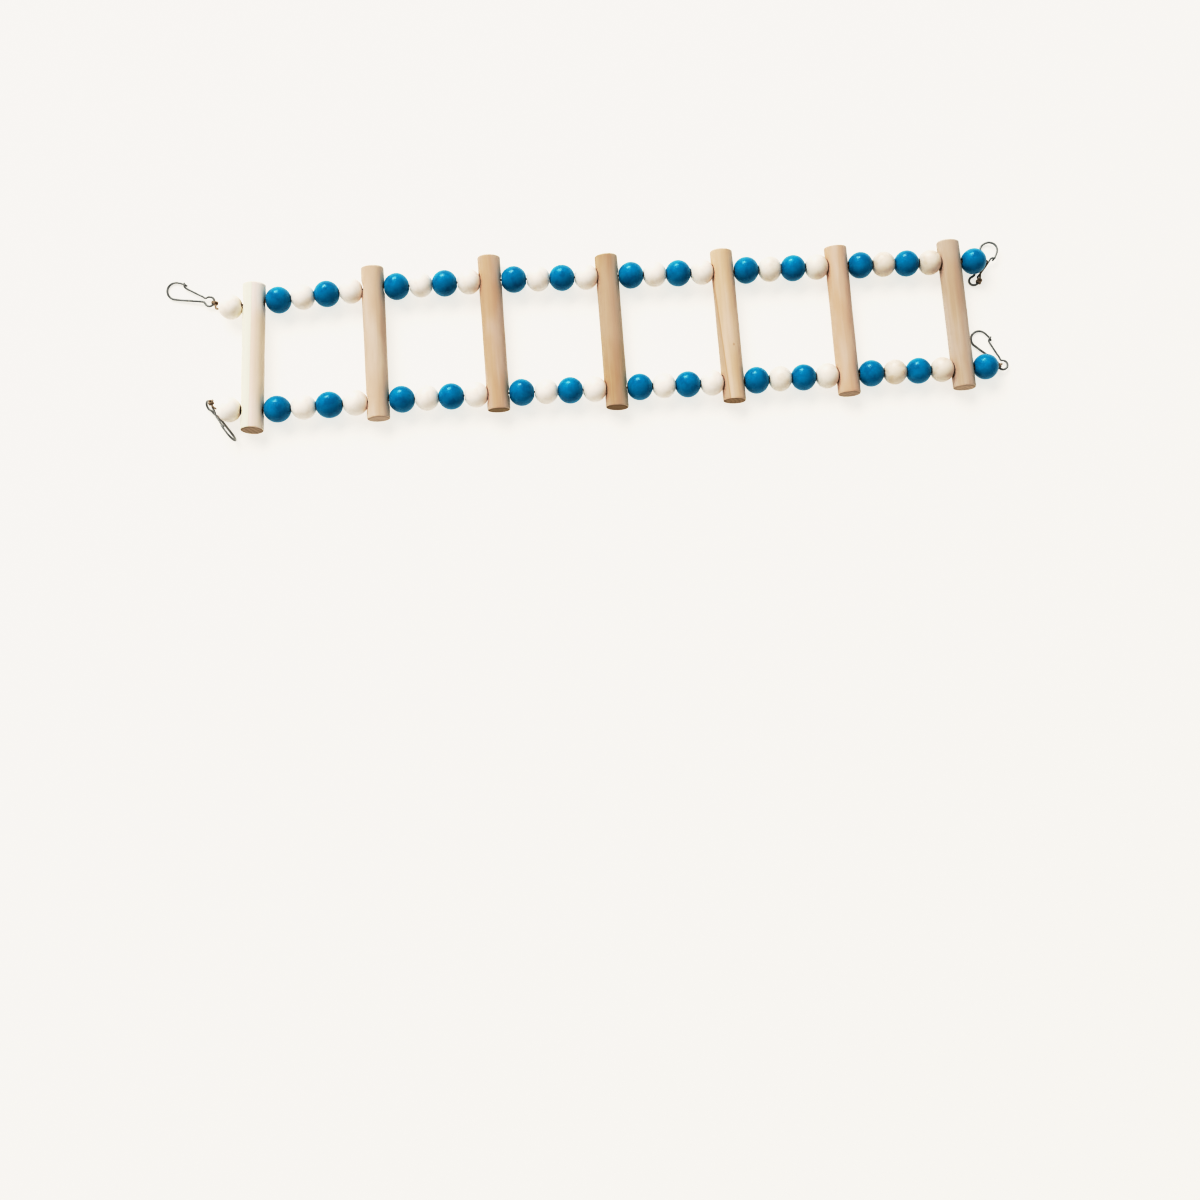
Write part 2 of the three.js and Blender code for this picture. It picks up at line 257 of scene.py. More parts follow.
# ---- materials ----
class Look:
    """A material and short ways to add its nodes."""

    def __init__(self, name, **sockets):
        self.material = bpy.data.materials.new(name)
        self.material.use_nodes = True
        self.tree = self.material.node_tree
        self.tree.nodes.clear()
        out = self.tree.nodes.new("ShaderNodeOutputMaterial")
        self.shader = self.tree.nodes.new("ShaderNodeBsdfPrincipled")
        self.tree.links.new(self.shader.outputs[0], out.inputs["Surface"])
        for key, value in sockets.items():
            self.shader.inputs[key.replace("_", " ")].default_value = value
        self.coord = self.tree.nodes.new("ShaderNodeTexCoord")

    def put(self, socket, value):
        if isinstance(value, bpy.types.NodeSocket):
            self.tree.links.new(value, socket)
        else:
            socket.default_value = value

    def set(self, name, value):
        self.put(self.shader.inputs[name], value)

    def math(self, op, a, b=0.0, c=0.0, clamp=False):
        n = self.tree.nodes.new("ShaderNodeMath")
        n.operation, n.use_clamp = op, clamp
        for i, value in enumerate((a, b, c)):
            self.put(n.inputs[i], value)
        return n.outputs[0]

    def vmath(self, op, a, b=(0.0, 0.0, 0.0)):
        n = self.tree.nodes.new("ShaderNodeVectorMath")
        n.operation = op
        self.put(n.inputs[0], a)
        if op == "SCALE":
            self.put(n.inputs["Scale"], b)
        else:
            self.put(n.inputs[1], b)
        return n.outputs["Value"] if op in ("LENGTH", "DOT_PRODUCT", "DISTANCE") else n.outputs[0]

    def mm(self):
        """The piece's own coordinates in millimetres."""
        return self.vmath("SCALE", self.coord.outputs["Object"], 1000.0)

    def moved(self, v, seed, varied=False):
        """Coordinates moved on by seed and, where varied, by a step that differs from piece to piece."""
        out = self.vmath("ADD", v, (seed * 17.3, seed * 9.1 + 3.0, seed * 5.7 - 2.0))
        if varied:
            info = self.tree.nodes.new("ShaderNodeObjectInfo")
            step = self.math("MULTIPLY", info.outputs["Random"], 431.0)
            out = self.vmath("ADD", out, self.xyz(step, self.math("MULTIPLY", step, 0.37), self.math("MULTIPLY", step, -0.61)))
        return out

    def parts(self, v):
        n = self.tree.nodes.new("ShaderNodeSeparateXYZ")
        self.put(n.inputs[0], v)
        return n.outputs[0], n.outputs[1], n.outputs[2]

    def xyz(self, x, y, z):
        n = self.tree.nodes.new("ShaderNodeCombineXYZ")
        for i, value in enumerate((x, y, z)):
            self.put(n.inputs[i], value)
        return n.outputs[0]

    def noise(self, v, size=(1.0, 1.0, 1.0), detail=3.0, rough=0.5, warp=0.0):
        """Noise with features of about these sizes in millimetres along X, Y and Z."""
        n = self.tree.nodes.new("ShaderNodeTexNoise")
        self.put(n.inputs["Vector"], self.vmath("MULTIPLY", v, tuple(1.0 / s for s in size)))
        n.inputs["Scale"].default_value = 1.0
        n.inputs["Detail"].default_value = detail
        n.inputs["Roughness"].default_value = rough
        n.inputs["Distortion"].default_value = warp
        return n.outputs[0]

    def spots(self, v, size):
        n = self.tree.nodes.new("ShaderNodeTexVoronoi")
        self.put(n.inputs["Vector"], self.vmath("MULTIPLY", v, tuple(1.0 / s for s in size)))
        n.inputs["Scale"].default_value = 1.0
        return n.outputs["Distance"]

    def step(self, value, low, high, a=0.0, b=1.0):
        """A smooth rise from a at low to b at high."""
        n = self.tree.nodes.new("ShaderNodeMapRange")
        n.interpolation_type = "SMOOTHSTEP"
        for name, q in (("Value", value), ("From Min", low), ("From Max", high), ("To Min", a), ("To Max", b)):
            self.put(n.inputs[name], q)
        return n.outputs[0]

    def mix(self, fac, a, b, blend="MIX"):
        n = self.tree.nodes.new("ShaderNodeMix")
        n.data_type, n.blend_type = "RGBA", blend
        self.put(n.inputs[0], fac)
        self.put(n.inputs[6], a)
        self.put(n.inputs[7], b)
        return n.outputs[2]

    def ramp(self, value, *stops):
        n = self.tree.nodes.new("ShaderNodeValToRGB")
        e = n.color_ramp.elements
        while len(e) < len(stops):
            e.new(0.5)
        for i, (at, colour) in enumerate(stops):
            e[i].position = at
            e[i].color = colour if not np.isscalar(colour) else (colour, colour, colour, 1.0)
        self.put(n.inputs[0], value)
        return n.outputs[0]

    def bump(self, height, depth_mm, strength=1.0, on=None):
        n = self.tree.nodes.new("ShaderNodeBump")
        n.inputs["Strength"].default_value = strength
        n.inputs["Distance"].default_value = depth_mm * 0.001
        self.put(n.inputs["Height"], height)
        if on is not None:
            self.put(n.inputs["Normal"], on)
        return n.outputs[0]


# side: the tint of the painted shade on each rung's side away from the window
def wood(number, pale, tan, deep, cut, pith, ring, seed, knots=(), stripe=None, side=(1.03, 1.11, 1.1, 1.0)):
    """Sanded unfinished dowel: faint growth rings about a pith outside it, fibres along Y, pores, sawn ends and drilled holes."""
    rung = RUNGS[number - 1]
    k = Look(f"rung_wood_{number}", IOR=1.45, Specular_IOR_Level=0.3, Sheen_Weight=0.04, Sheen_Roughness=0.5)
    own = k.mm()
    x, y, z = k.parts(own)
    v = k.moved(own, seed)
    # growth rings, which wander slowly along the rung
    wander_x = k.noise(v, (26, 95, 26), 2.0)
    wander_z = k.noise(k.moved(v, 3.1), (26, 120, 26), 2.0)
    dx = k.math("ADD", k.math("SUBTRACT", x, pith[0]), k.math("MULTIPLY_ADD", wander_x, 7.0, -3.5))
    dz = k.math("ADD", k.math("SUBTRACT", z, pith[1]), k.math("MULTIPLY_ADD", wander_z, 7.0, -3.5))
    far = k.math("SQRT", k.math("ADD", k.math("MULTIPLY", dx, dx), k.math("MULTIPLY", dz, dz)))
    for ky, ka, size in knots:  # the grain flows round a pin knot
        gap = k.vmath("LENGTH", k.vmath("MULTIPLY", k.vmath("SUBTRACT", own, (6.84 * math.cos(ka), ky, 6.84 * math.sin(ka))), (1.0, 0.42, 1.0)))
        far = k.math("ADD", far, k.step(gap, 0.0, size * 3.2, 1.2, 0.0))
    shiver = k.noise(v, (1.3, 14, 1.3), 3.0)
    turn = k.math("FRACT", k.math("MULTIPLY_ADD", shiver, 0.22, k.math("DIVIDE", far, ring)))
    rings = k.ramp(turn, (0.0, 0.12), (0.3, 0.0), (0.62, 0.3), (0.9, 1.0), (1.0, 0.12))
    # fibres, pores and slow changes of tone
    fibre = k.noise(v, (0.3, 9.0, 0.3), 5.0, 0.62)
    streak = k.noise(k.moved(v, 1.7), (1.5, 46.0, 1.5), 3.0, 0.55)
    tone = k.noise(k.moved(v, 2.3), (13, 48, 13), 2.0)
    pores = k.step(k.spots(k.moved(v, 4.4), (0.42, 4.6, 0.42)), 0.05, 0.22, 1.0, 0.0)
    rare = k.step(k.noise(k.moved(v, 5.9), (5, 26, 5), 2.0), 0.46, 0.62)
    pores = k.math("MULTIPLY", pores, rare)
    colour = k.mix(k.step(tone, 0.36, 0.64), pale, tan)
    if stripe is not None:  # a lengthwise change of tone, from place[0] at the lower end to place[1] at the upper
        place, width, other, line = stripe
        edge = k.math("ADD", k.math("MULTIPLY_ADD", y, (place[1] - place[0]) / rung[3], (place[0] + place[1]) / 2), k.math("MULTIPLY_ADD", wander_z, 1.6, -0.8))
        beyond = k.math("SUBTRACT", x, edge)
        colour = k.mix(k.step(beyond, -width, width, 1.0, 0.0), colour, other)
        thin = k.math("MULTIPLY", k.step(beyond, -0.55, -0.1), k.step(beyond, 0.0, 0.5, 1.0, 0.0))
        colour = k.mix(k.math("MULTIPLY", thin, line), colour, deep)
    colour = k.mix(k.math("MULTIPLY", rings, 0.08), colour, deep)
    colour = k.mix(k.step(streak, 0.52, 0.8, 0.0, 0.1), colour, deep)
    colour = k.mix(k.step(streak, 0.46, 0.24, 0.0, 0.1), colour, lin("E6DACB"))
    grey = k.math("MULTIPLY_ADD", fibre, 0.09, 0.955)
    colour = k.mix(1.0, colour, k.xyz(grey, grey, grey), "MULTIPLY")
    colour = k.mix(k.math("MULTIPLY", pores, 0.18), colour, deep)
    # painted shade: the side away from the window is tinted lighter and greyer by side, standing in for how the light
    # falls there
    colour = k.mix(k.step(x, 0.5, 6.4), colour, k.mix(1.0, colour, side, "MULTIPLY"))
    for ky, ka, size in knots:
        gap = k.vmath("LENGTH", k.vmath("MULTIPLY", k.vmath("SUBTRACT", own, (6.84 * math.cos(ka), ky, 6.84 * math.sin(ka))), (1.0, 0.7, 1.0)))
        colour = k.mix(k.step(gap, size * 0.35, size, 0.4, 0.0), colour, lin("8A6A4C"))
        colour = k.mix(k.step(gap, size * 0.9, size * 2.1, 0.3, 0.0), colour, deep)
    # drilled holes: torn end grain, rougher, and darker partly from the end grain and partly as painted shade in the
    # recess
    out = k.math("SQRT", k.math("ADD", k.math("MULTIPLY", x, x), k.math("MULTIPLY", z, z)))
    near = k.math("MINIMUM", k.math("ABSOLUTE", k.math("SUBTRACT", y, rung[4])), k.math("ABSOLUTE", k.math("ADD", y, rung[5])))
    drilled = k.math("MULTIPLY", k.step(out, 6.1, 6.56, 1.0, 0.0), k.step(near, 6.2, 6.6, 1.0, 0.0))
    torn = k.noise(v, (0.5, 0.5, 2.2), 4.0, 0.65)
    colour = k.mix(k.math("MULTIPLY", drilled, 0.85), colour, k.mix(torn, lin("6E4E33"), lin("B58D63")))
    # sawn ends: the rings across, with open grain and the marks of the blade
    nx, ny, nz = k.parts(k.coord.outputs["Normal"])
    end = k.step(k.math("ABSOLUTE", ny), 0.72, 0.93)
    grain = k.noise(v, (0.22, 0.6, 0.22), 4.0, 0.7)
    sawn = k.mix(k.math("MULTIPLY", rings, 0.5), cut[0], cut[1])
    sawn = k.mix(k.step(grain, 0.45, 0.75, 0.0, 0.4), sawn, cut[1])
    sawn = k.mix(k.step(out, 5.3, 6.3, 0.0, 0.45), sawn, cut[1])
    colour = k.mix(end, colour, sawn)
    # broken edge: a little paler where it was sanded
    edge = k.math("MULTIPLY", k.step(k.math("ABSOLUTE", ny), 0.2, 0.45), k.step(k.math("ABSOLUTE", ny), 0.7, 0.88, 1.0, 0.0))
    colour = k.mix(k.math("MULTIPLY", edge, 0.4), colour, lin("EAD9BF"))
    k.set("Base Color", colour)
    rough = k.math("MULTIPLY_ADD", fibre, 0.16, 0.48)
    rough = k.math("ADD", rough, k.math("MULTIPLY", k.math("MAXIMUM", end, drilled), 0.22), clamp=True)
    k.set("Roughness", rough)
    blade = k.math("SINE", k.math("ADD", k.math("MULTIPLY_ADD", x, 6.3, k.math("MULTIPLY", z, 3.9)), k.math("MULTIPLY", grain, 3.0)))
    height = k.math("SUBTRACT", k.math("MULTIPLY", fibre, 0.5), k.math("MULTIPLY", pores, 0.5))
    height = k.math("ADD", height, k.math("MULTIPLY", rings, 0.12))
    rugged = k.math("ADD", k.math("MULTIPLY", blade, 0.35), k.math("MULTIPLY", grain, 0.9))
    height = k.math("ADD", height, k.math("MULTIPLY", end, rugged))
    height = k.math("ADD", height, k.math("MULTIPLY", drilled, torn))
    k.set("Normal", k.bump(height, 0.1, 0.5))
    return k.material


def paint(name, mid, light, dark, rough, seed, tint, coat):
    """Satin paint on a turned wooden bead: the wood's fibres show faintly, the paint is thin in specks, and the bore is bare."""
    k = Look(name, IOR=1.48, Specular_IOR_Level=0.4, Specular_Tint=tint, Coat_Weight=coat, Coat_Roughness=0.2, Coat_IOR=1.4)
    own = k.mm()
    x, y, z = k.parts(own)
    v = k.moved(own, seed, True)
    cloud = k.noise(v, (6.0, 6.0, 6.0), 3.0)
    fibre = k.noise(v, (5.0, 0.5, 0.5), 4.0, 0.6)
    peel = k.noise(v, (0.8, 0.8, 0.8), 2.0)
    colour = k.mix(k.step(cloud, 0.36, 0.5), dark, mid)
    colour = k.mix(k.step(cloud, 0.52, 0.7), colour, light)
    grey = k.math("MULTIPLY_ADD", fibre, 0.12, 0.94)
    colour = k.mix(1.0, colour, k.xyz(grey, grey, grey), "MULTIPLY")
    # tiny specks where the paint is thin
    speck = k.step(k.spots(k.moved(v, 2.7), (2.7, 2.3, 2.3)), 0.03, 0.085, 1.0, 0.0)
    thin = k.step(k.noise(k.moved(v, 6.1), (6, 6, 6), 1.0), 0.54, 0.64)
    speck = k.math("MULTIPLY", speck, thin)
    colour = k.mix(k.math("MULTIPLY", speck, 0.5), colour, dark)
    # bare wood in the bore, with a ragged line where the paint stops
    out = k.math("SQRT", k.math("ADD", k.math("MULTIPLY", y, y), k.math("MULTIPLY", z, z)))
    ragged = k.math("MULTIPLY_ADD", k.noise(v, (0.8, 0.8, 0.8), 3.0), 0.3, -0.15)
    bare = k.step(k.math("ADD", out, ragged), 1.93, 2.06, 1.0, 0.0)
    colour = k.mix(bare, colour, k.mix(fibre, lin("7A5534"), lin("C49A6C")))
    k.set("Base Color", colour)
    r = k.math("MULTIPLY_ADD", cloud, 0.12, rough - 0.06)
    r = k.math("ADD", r, k.math("MULTIPLY", bare, 0.35), clamp=True)
    k.set("Roughness", r)
    height = k.math("ADD", k.math("MULTIPLY", fibre, 0.55), k.math("MULTIPLY", peel, 0.35))
    height = k.math("SUBTRACT", height, k.math("MULTIPLY", speck, 0.6))
    k.set("Normal", k.bump(height, 0.05, 0.45))
    return k.material


def steel(name, seed):
    """Drawn spring wire: grey, fine lines along it and a few dull patches."""
    k = Look(name, Metallic=0.42, Specular_IOR_Level=0.4)
    v = k.moved(k.mm(), seed)
    patch = k.noise(v, (3.0, 3.0, 3.0), 3.0, 0.6)
    line = k.noise(v, (0.16, 0.16, 0.16), 3.0, 0.7)
    colour = k.mix(k.step(patch, 0.35, 0.68), lin("828381"), lin("9C9D9B"))
    colour = k.mix(k.step(line, 0.55, 0.8, 0.0, 0.35), colour, lin("5A5753"))
    k.set("Base Color", colour)
    k.set("Roughness", k.math("ADD", k.step(patch, 0.3, 0.75, 0.28, 0.42), k.math("MULTIPLY", line, 0.08)))
    k.set("Normal", k.bump(line, 0.02, 0.35))
    return k.material


def twine(name, seed):
    """Brown laid cord with fine fibres."""
    k = Look(name, Sheen_Weight=0.35, Sheen_Roughness=0.45, Specular_IOR_Level=0.25)
    v = k.moved(k.mm(), seed)
    fuzz = k.noise(v, (0.09, 0.09, 0.09), 3.0, 0.7)
    soft = k.noise(v, (1.4, 1.4, 1.4), 2.0)
    colour = k.mix(fuzz, lin("7A6A59"), lin("A69684"))
    colour = k.mix(k.step(soft, 0.4, 0.7, 0.0, 0.4), colour, lin("B3A490"))
    k.set("Base Color", colour)
    k.set("Roughness", k.math("MULTIPLY_ADD", fuzz, 0.15, 0.76))
    k.set("Normal", k.bump(fuzz, 0.08, 0.8))
    return k.material


WOODS = [
    wood(1, lin("EAD9D0"), lin("E2CBBC"), lin("C7A58B"), (lin("B9A692"), lin("836C53")), (-15.0, -6.0), 3.1, 1.0,
         stripe=((-0.9, -0.2), 0.45, lin("E2E0CD"), 0.2)),
    wood(2, lin("CEB9AB"), lin("C5AD9D"), lin("AA8D77"), (lin("C6B6A6"), lin("A38D79")), (13.0, -12.0), 2.6, 2.0),
    # rungs 3 and 4: a stronger painted shade tint on the side away from the window, and sawn ends kept darker, partly
    # as painted shade
    wood(3, lin("C4AEA3"), lin("BBA18E"), lin("A3866C"), (lin("A08A6D"), lin("6E5944")), (-9.0, -17.0), 2.9, 3.0, side=(1.1, 1.19, 1.16, 1.0)),
    wood(4, lin("B8A292"), lin("AF9780"), lin("9B7F60"), (lin("9A8367"), lin("69543F")), (11.0, -14.0), 2.4, 4.0, side=(1.18, 1.33, 1.36, 1.0)),
    wood(5, lin("D1B9A9"), lin("CAB09C"), lin("A58469"), (lin("A78F74"), lin("78614B")), (-17.0, -5.0), 2.7, 5.0, knots=((-13.3, math.radians(76), 0.42),),
         stripe=((-3.3, -7.6), 0.5, lin("BCA595"), 0.45)),
    wood(6, lin("C9B2A4"), lin("C3A795"), lin("A5876F"), (lin("BBA895"), lin("947C65")), (14.0, -8.0), 3.0, 6.0),
    wood(7, lin("BEADA2"), lin("B5A191"), lin("9A826C"), (lin("BEAC99"), lin("9C8671")), (-12.0, -13.0), 2.5, 7.0),
]
BLUE_PAINT = paint("bead_blue_paint", lin("0683A3"), lin("088BAC"), lin("047898"), 0.24, 11.0, (0.9, 0.95, 1.0, 1.0), 0.0)
WHITE_PAINT = paint("bead_white_paint", lin("FCF0E5"), lin("FDF3E9"), lin("F6E9DC"), 0.36, 12.0, (1.0, 1.0, 1.0, 1.0), 0.1)
CREAM_PAINT = {  # the white of the last two bays has yellowed
    5: paint("bead_white_paint_5", lin("EDE1D4"), lin("F0E6DA"), lin("E6D8C9"), 0.36, 15.0, (1.0, 1.0, 1.0, 1.0), 0.1),
    6: paint("bead_white_paint_6", lin("E2D3C4"), lin("E6D9CB"), lin("D9C7B5"), 0.36, 16.0, (1.0, 1.0, 1.0, 1.0), 0.1),
}
STEEL = steel("hook_steel_wire", 13.0)
TWINE = twine("string_brown_cord", 14.0)


# ---- rungs ----
def rung_axis(rung):
    a = math.radians(rung[2])
    return vec(-math.sin(a), math.cos(a), 0)


def hole(rung, which):
    return vec(rung[0], rung[1], STRING_Z) + rung_axis(rung) * (rung[4] if which == "upper" else -rung[5])


def spread(length, slants):
    """How the beads of one run fill it: how deep the outer ones sit in the holes, and how long they are beside the usual."""
    sunk = [SUNK[i] - 0.1 * max(0.0, abs(q) - 2) for i, q in enumerate(slants)]
    return sunk, (length - 2 * RUNG_RADIUS + sum(sunk) - 2 * GAP - MIDDLE_GAP) / (2 * (BLUE[1] + WHITE[1]))


def rung_mesh(rung, slant, seed):
    """A dowel with two cross holes that widen to the outside, all in quads, with softened edges."""
    rng = np.random.default_rng(seed)
    R, H, C = RUNG_RADIUS, rung[3] / 2, RUNG_EDGE
    up, down = rung[4], -rung[5]
    NJ, JB = 80, 14
    half = 6.2
    ys = np.r_[
        np.linspace(-H + C, down - half, 6)[:-1],
        np.linspace(down - half, down + half, 21)[:-1],
        np.linspace(down + half, up - half, 41)[:-1],
        np.linspace(up - half, up + half, 21)[:-1],
        np.linspace(up + half, H - C, 6),
    ]
    NK = len(ys)
    blocks = []
    for centre in (down, up):
        k0 = int(np.argmin(abs(ys - (centre - half))))
        k1 = int(np.argmin(abs(ys - (centre + half))))
        blocks.append((centre, k0, k1))
    dj = 2 * math.pi / NJ
    verts, faces, grid = [], [], {}

    def inside(k, j, strict):
        """In a hole's block: strictly inside for a point, or a cell of it."""
        for _, k0, k1 in blocks:
            for mid in (0, NJ // 2):
                q = (j - mid + NJ // 2) % NJ - NJ // 2
                if strict and k0 < k < k1 and -JB < q < JB:
                    return True
                if not strict and k0 <= k < k1 and -JB <= q < JB:
                    return True
        return False

    for k in range(NK):
        for j in range(NJ):
            if not inside(k, j, True):
                grid[k, j] = len(verts)
                verts.append((R * math.cos(j * dj), ys[k], R * math.sin(j * dj)))
    for k in range(NK - 1):
        for j in range(NJ):
            if not inside(k, j, False):
                q = (j + 1) % NJ
                faces.append((grid[k, j], grid[k + 1, j], grid[k + 1, q], grid[k, q]))
    # cross holes
    for centre, k0, k1 in blocks:
        loop = [(k, -JB) for k in range(k0, k1)] + [(k1, q) for q in range(-JB, JB)]
        loop += [(k, JB) for k in range(k1, k0, -1)] + [(k0, q) for q in range(JB, -JB, -1)]
        n = len(loop)
        plus = [grid[k, q % NJ] for k, q in loop]
        minus = [grid[k, (NJ // 2 - q) % NJ] for k, q in loop]
        flat = np.array([(ys[k] - centre, q * dj) for k, q in loop])
        phi = np.arctan2(flat[:, 1] * R, flat[:, 0])

        def narrow_hole(depth):
            return HOLE_THROAT + (HOLE_EDGE - HOLE_THROAT) * np.clip((depth - 4.0) / (R - 4.0), 0, None)

        def wide_hole(depth):
            """A long low mouth, cut into a round bore: how far its wall is from the bore's middle."""
            a = 2.4 + (HOLE_MOUTH[0] - 2.4) * np.clip((depth - 1.6) / (R - 1.6), 0, None)
            b = a * HOLE_MOUTH[1] / HOLE_MOUTH[0]
            A = (np.cos(phi) / a) ** 2 + (np.sin(phi) / b) ** 2
            B = -2 * HOLE_HIGH * np.sin(phi) / b ** 2
            return np.maximum(HOLE_THROAT, (-B + np.sqrt(B * B - 4 * A * ((HOLE_HIGH / b) ** 2 - 1))) / (2 * A))

        def mouth(cone, begin, lip):
            """Rings from the block's edge to the middle of the hole, on one side."""
            r = np.full(n, 3.5)
            for _ in range(40):  # where the hole's wall meets the round surface
                r = 0.5 * r + 0.5 * cone(np.sqrt(R * R - (r * np.sin(phi)) ** 2))

            def on_surface(radius):
                zz = radius * np.sin(phi)
                return np.stack([np.sqrt(R * R - zz * zz), radius * np.cos(phi), zz], axis=1)

            rim, sharp = on_surface(r + lip), on_surface(r)
            deep_x = sharp[:, 0] - lip * 1.3
            deep_r = cone(deep_x)
            deep = np.stack([deep_x, deep_r * np.cos(phi), deep_r * np.sin(phi)], axis=1)
            stop = np.stack([rim[:, 1], np.arcsin(rim[:, 2] / R)], axis=1)
            rings = []
            for t in (0.25, 0.5, 0.72, 0.88, 1.0):
                m = flat * (1 - t) + stop * t
                rings.append(np.stack([R * np.cos(m[:, 1]), m[:, 0], R * np.sin(m[:, 1])], axis=1))
            for t in (0.2, 0.4, 0.6, 0.8, 1.0):  # rounded rim
                rings.append((1 - t) ** 2 * rim + 2 * t * (1 - t) * sharp + t * t * deep)
            for t in (0.2, 0.4, 0.6, 0.8, 1.0):
                xx = deep_x * (1 - t) + begin * t
                rr = cone(xx)
                rings.append(np.stack([xx, rr * np.cos(phi), rr * np.sin(phi)], axis=1))
            for xx in (begin * 0.6, begin * 0.2):
                rings.append(np.stack([np.full(n, xx), HOLE_THROAT * np.cos(phi), HOLE_THROAT * np.sin(phi)], axis=1))
            return rings

        narrow, wide = mouth(narrow_hole, 4.0, 0.25), mouth(wide_hole, 1.6, 0.3)
        chain = [plus]
        for ring in narrow + [q * vec(-1, 1, 1) for q in wide[::-1]]:
            chain.append(list(range(len(verts), len(verts) + n)))
            verts += [tuple(q) for q in (ring + vec(0, centre, 0))]
        chain.append(minus)
        for a, b in zip(chain, chain[1:]):
            for i in range(n):
                q = (i + 1) % n
                faces.append((a[i], a[q], b[q], b[i]))
    # ends: broken edge, then the sawn face, which is not quite square
    for end, k in ((-1, 0), (1, NK - 1)):
        lean = slant[:2] if end > 0 else slant[2:]
        low = math.hypot(lean[0], lean[1]) * 3.0 + 0.05
        last = [grid[k, j] for j in range(NJ)]
        for rr, back in ((6.88, 0.84), (6.81, 0.6), (6.67, 0.37), (6.46, 0.18), (6.18, 0.06), (5.88, 0.01), (5.6, 0.0), (4.3, 0.0), (3.0, 0.0), (1.6, 0.0)):
            new = list(range(len(verts), len(verts) + NJ))
            for j in range(NJ):
                px, pz = rr * math.cos(j * dj), rr * math.sin(j * dj)
                verts.append((px, end * (H - back + (lean[0] * px + lean[1] * pz - low) * (1 - back / C)), pz))
            for j in range(NJ):
                q = (j + 1) % NJ
                f = (last[j], new[j], new[q], last[q])
                faces.append(f if end > 0 else f[::-1])
            last = new
        c = len(verts)
        verts.append((0.0, end * (H - low), 0.0))
        for j in range(NJ):
            q = (j + 1) % NJ
            f = (last[j], c, last[q])
            faces.append(f if end > 0 else f[::-1])
    # never quite straight or round
    v = np.array(verts)
    a = np.arctan2(v[:, 2], v[:, 0])
    p = rng.uniform(0, 6.28, 4)
    wave = 0.03 * np.sin(v[:, 1] * 0.09 + p[0]) + 0.025 * np.sin(v[:, 1] * 0.21 + 2 * a + p[1]) + 0.025 * np.sin(2 * a + p[2] + v[:, 1] * 0.03)
    scale = 1 + (wave - 0.05) / R
    v[:, 0] *= scale
    v[:, 2] *= scale
    return v, faces


for i, rung in enumerate(RUNGS):
    name = f"rung_{i + 1}"
    v, f = rung_mesh(rung, SLANTS[i], 40 + i)
    ob = make(f"{name}_dowel", v, f, WOODS[i], placed((rung[0], rung[1], RUNG_RADIUS), math.radians(rung[2])))
    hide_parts(name)
    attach(ob, name)


# ---- beads ----
def bead_mesh(radius, length, seed):
    """A turned bead: a slightly flattened ball with a rounded rim at both ends of its bore."""
    rng = np.random.default_rng(seed)
    radius *= 1 + rng.uniform(-0.012, 0.004)
    t = math.acos(BEAD_RING / radius)
    half = length / 2 / math.sin(t)
    arcs = np.linspace(-t + 0.035, t - 0.035, 33)
    outer = [(radius * math.cos(a), half * math.sin(a)) for a in arcs]
    r1, x1 = outer[-1]
    rim = []
    for s in (0.2, 0.4, 0.6, 0.8, 1.0):
        p0, p1, p2 = vec(r1, x1), vec(BEAD_BORE + 0.12, length / 2 + 0.01), vec(BEAD_BORE, length / 2 - 0.45)
        rim.append(tuple((1 - s) ** 2 * p0 + 2 * s * (1 - s) * p1 + s * s * p2))
    bore = [(BEAD_BORE, x) for x in np.linspace(length / 2 - 2.2, -length / 2 + 2.2, 5)]
    profile = outer + rim + bore + [(r, -x) for r, x in rim[::-1]]
    n, m = len(profile), 56
    ang = np.linspace(0, 2 * math.pi, m, endpoint=False)
    p = rng.uniform(0, 6.28, 3)
    pr = np.array(profile)
    rr = pr[:, 0][:, None] * np.ones(m)[None, :]
    swell = (0.05 * np.cos(2 * ang + p[0]) + 0.03 * np.cos(3 * ang + p[1]))[None, :] * np.clip((rr - 2.2) / 4, 0, 1)
    lump = 0.04 * np.sin(pr[:, 1][:, None] * 0.5 + p[2]) * np.cos(ang + p[0])[None, :] * np.clip((rr - 2.2) / 4, 0, 1)
    rr = rr + swell + lump - 0.03 * np.clip((rr - 2.2) / 4, 0, 1)
    v = np.stack([np.broadcast_to(pr[:, 1][:, None], rr.shape), rr * np.cos(ang)[None, :], rr * np.sin(ang)[None, :]], axis=2).reshape(-1, 3)
    f = []
    for i in range(n):
        k = (i + 1) % n
        for j in range(m):
            q = (j + 1) % m
            f.append((i * m + j, k * m + j, k * m + q, i * m + q))
    f = [q[::-1] for q in f]
    return v, f


count = [0]


def bead(name, node, body, blue, radius, length, at, direction, tilt=0.02, rise=0.0, bay=0):
    count[0] += 1
    rng = np.random.default_rng(900 + count[0])
    v, f = bead_mesh(radius, length, 300 + count[0])
    lean, spin = rng.uniform(-tilt, tilt, 2), rng.uniform(0, 2 * math.pi)
    c, q = math.cos(spin), math.sin(spin)
    v = np.stack([v[:, 0], v[:, 1] * c - v[:, 2] * q, v[:, 1] * q + v[:, 2] * c], axis=1)
    ob = make(name, v, f, BLUE_PAINT if blue else CREAM_PAINT.get(bay, WHITE_PAINT), placed(at, direction, 0.0, lean, rise))
    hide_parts(node)
    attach(ob, body)
    return ob


def thread(name, node, p, bodies, bend=None, phase=0.0, fray=False, parts=None):
    """A length of string along a path. It rides on one body, or, where bend is given, stays where it is on no body; the
    ends in bend are not used.
    """
    v, f = parts if parts is not None else cord(p, phase=phase, fray=fray)
    ob = make(name, v, f, TWINE, in_row=True)
    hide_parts(node)
    if bend is None:
        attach(ob, bodies)
    else:
        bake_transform(ob)
    return ob


